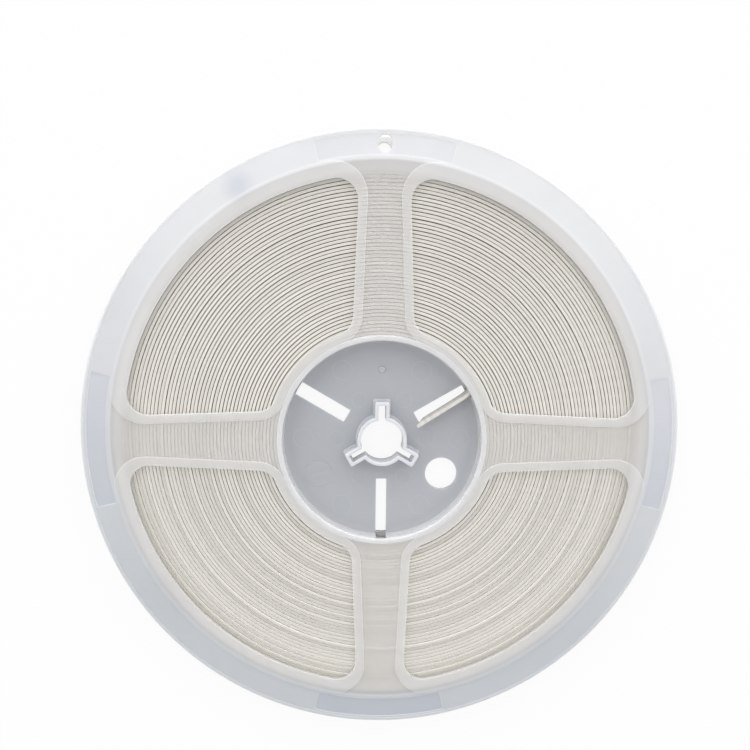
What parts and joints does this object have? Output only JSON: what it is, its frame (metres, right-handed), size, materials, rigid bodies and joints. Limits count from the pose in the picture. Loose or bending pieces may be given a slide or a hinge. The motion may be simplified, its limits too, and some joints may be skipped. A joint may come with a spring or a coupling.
{
  "type": "component tape reel",
  "caption": "Flat round plastic reel with windowed flanges and an open hub, wound full with narrow white paper carrier tape for small electronic parts.",
  "frame": {"origin": "centre of the reel's rear side, on the surface that it lies on", "axes": "+Z along the reel's axis towards the front flange, +Y towards the oblong hole in the rim"},
  "size_m": [0.18, 0.18, 0.0116],
  "materials": {
    "front_flange": "milky translucent, satin",
    "rear_flange": "milky translucent, satin",
    "hub": "milky, satin",
    "carrier_tape": "matt white paper board",
    "end_tab": "clear adhesive film"
  },
  "bodies": {
    "root": {"front_flange": "front_flange", "rear_flange": "rear_flange", "hub": "hub", "carrier_tape": "carrier_tape", "end_tab": "end_tab"}
  },
  "joints": []
}
